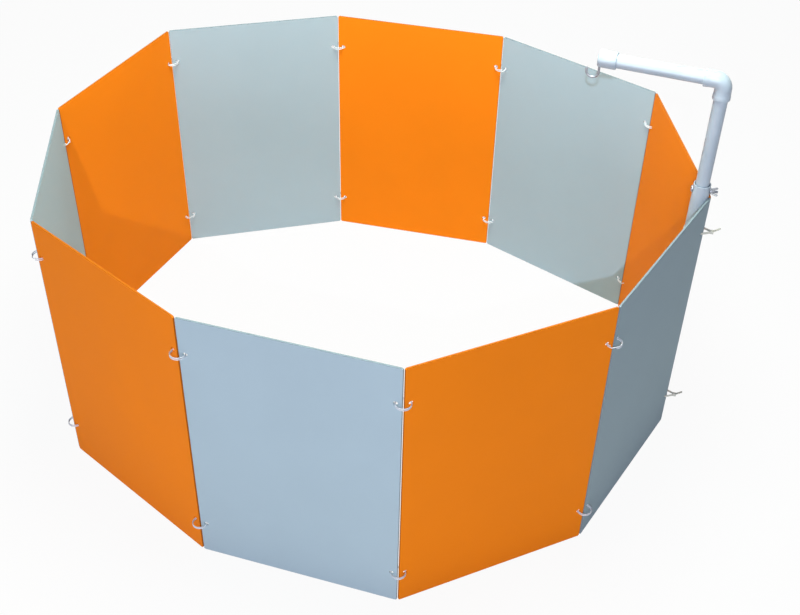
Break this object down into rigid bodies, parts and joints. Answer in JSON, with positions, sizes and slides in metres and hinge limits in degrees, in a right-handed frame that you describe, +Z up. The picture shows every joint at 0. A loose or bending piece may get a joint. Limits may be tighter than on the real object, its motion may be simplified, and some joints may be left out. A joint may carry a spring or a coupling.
{
  "type": "chick brooder",
  "caption": "Folding corral of orange and grey plastic panels for brooding chicks, with a telescoping lamp stand and hook at its closing corner.",
  "frame": {"origin": "middle of the footprint, on the floor", "axes": "+Z up, +X across the corral towards the lamp stand's side"},
  "size_m": [1.3896, 1.2896, 0.8778],
  "materials": {
    "orange_sheet": "satin",
    "grey_sheet": "satin",
    "white_nylon": "satin",
    "white_pvc": "gloss",
    "zinc_steel": "satin"
  },
  "bodies": {
    "sheet_01": {"panel_01": "grey_sheet", "closure_tie_lower": "white_nylon", "closure_tie_upper": "white_nylon", "stand_outer_tube": "white_pvc", "clamp_bolt": "zinc_steel", "clamp_washer": "zinc_steel"},
    "sheet_02": {"panel_02": "orange_sheet", "hinge_ring_1_lower": "white_nylon", "hinge_ring_1_upper": "white_nylon"},
    "sheet_03": {"panel_03": "grey_sheet", "hinge_ring_2_lower": "white_nylon", "hinge_ring_2_upper": "white_nylon"},
    "sheet_04": {"panel_04": "orange_sheet", "hinge_ring_3_lower": "white_nylon", "hinge_ring_3_upper": "white_nylon"},
    "sheet_05": {"panel_05": "grey_sheet", "hinge_ring_4_lower": "white_nylon", "hinge_ring_4_upper": "white_nylon", "hinge_ring_5_lower": "white_nylon", "hinge_ring_5_upper": "white_nylon"},
    "sheet_06": {"panel_06": "orange_sheet", "hinge_ring_6_lower": "white_nylon", "hinge_ring_6_upper": "white_nylon"},
    "sheet_07": {"panel_07": "grey_sheet", "hinge_ring_7_lower": "white_nylon", "hinge_ring_7_upper": "white_nylon"},
    "sheet_08": {"panel_08": "orange_sheet", "hinge_ring_8_lower": "white_nylon", "hinge_ring_8_upper": "white_nylon"},
    "sheet_09": {"panel_09": "grey_sheet", "hinge_ring_9_lower": "white_nylon", "hinge_ring_9_upper": "white_nylon"},
    "sheet_10": {"panel_10": "orange_sheet"},
    "inner_post": {"stand_inner_pipe": "white_pvc"},
    "lamp_arm": {"stand_elbow": "white_pvc", "stand_arm": "white_pvc", "stand_end_cap": "white_pvc", "lamp_hook": "zinc_steel"},
    "wing_nut": {"clamp_wing_nut": "zinc_steel"}
  },
  "joints": [
    {"name": "fold_5", "type": "hinge", "parent": "sheet_05", "child": "sheet_06", "pos_m": [-0.68132, 0.15551, 0], "axis": [0, 0, 1], "range_deg": [0, 203], "deforming": ["closure_tie_lower", "closure_tie_upper"]},
    {"name": "fold_6", "type": "hinge", "parent": "sheet_06", "child": "sheet_07", "pos_m": [-0.50429, 0.52357, 0], "axis": [0, 0, 1], "range_deg": [-122, 0]},
    {"name": "fold_7", "type": "hinge", "parent": "sheet_07", "child": "sheet_08", "pos_m": [-0.10994, 0.62947, 0], "axis": [0, 0, 1], "range_deg": [0, 199]},
    {"name": "fold_8", "type": "hinge", "parent": "sheet_08", "child": "sheet_09", "pos_m": [0.28864, 0.53839, 0], "axis": [0, 0, 1], "range_deg": [-146.5, 0]},
    {"name": "fold_9", "type": "hinge", "parent": "sheet_09", "child": "sheet_10", "pos_m": [0.61647, 0.29339, 0], "axis": [0, 0, 1], "range_deg": [0, 217.5]},
    {"name": "fold_4", "type": "hinge", "parent": "sheet_05", "child": "sheet_04", "pos_m": [-0.63077, -0.24993, 0], "axis": [0, 0, 1], "range_deg": [0, 129]},
    {"name": "fold_3", "type": "hinge", "parent": "sheet_04", "child": "sheet_03", "pos_m": [-0.32396, -0.51956, 0], "axis": [0, 0, 1], "range_deg": [-196, 0]},
    {"name": "fold_2", "type": "hinge", "parent": "sheet_03", "child": "sheet_02", "pos_m": [0.06945, -0.62947, 0], "axis": [0, 0, 1], "range_deg": [0, 130]},
    {"name": "fold_1", "type": "hinge", "parent": "sheet_02", "child": "sheet_01", "pos_m": [0.44133, -0.46008, 0], "axis": [0, 0, 1], "range_deg": [-204, 0]},
    {"name": "post_height", "type": "slide", "parent": "sheet_01", "child": "inner_post", "axis": [0, 0, 1], "range_m": [0, 0.18]},
    {"name": "arm_swing", "type": "hinge", "parent": "inner_post", "child": "lamp_arm", "pos_m": [0.64047, -0.10944, 0.8611], "axis": [0, 0, 1], "range_deg": [-60, 60]},
    {"name": "wing_nut_turn", "type": "hinge", "parent": "sheet_01", "child": "wing_nut", "pos_m": [0.64047, -0.10944, 0.6232], "axis": [0.974, -0.2265, 0], "continuous": true}
  ],
  "couplings": [
    {"joint": "fold_6", "follows": "fold_5", "ratio": -0.60098},
    {"joint": "fold_7", "follows": "fold_5", "ratio": 0.98029},
    {"joint": "fold_8", "follows": "fold_5", "ratio": -0.72167},
    {"joint": "fold_9", "follows": "fold_5", "ratio": 1.0714},
    {"joint": "fold_4", "follows": "fold_5", "ratio": 0.63546},
    {"joint": "fold_3", "follows": "fold_5", "ratio": -0.96551},
    {"joint": "fold_2", "follows": "fold_5", "ratio": 0.64039},
    {"joint": "fold_1", "follows": "fold_5", "ratio": -1.0049}
  ]
}
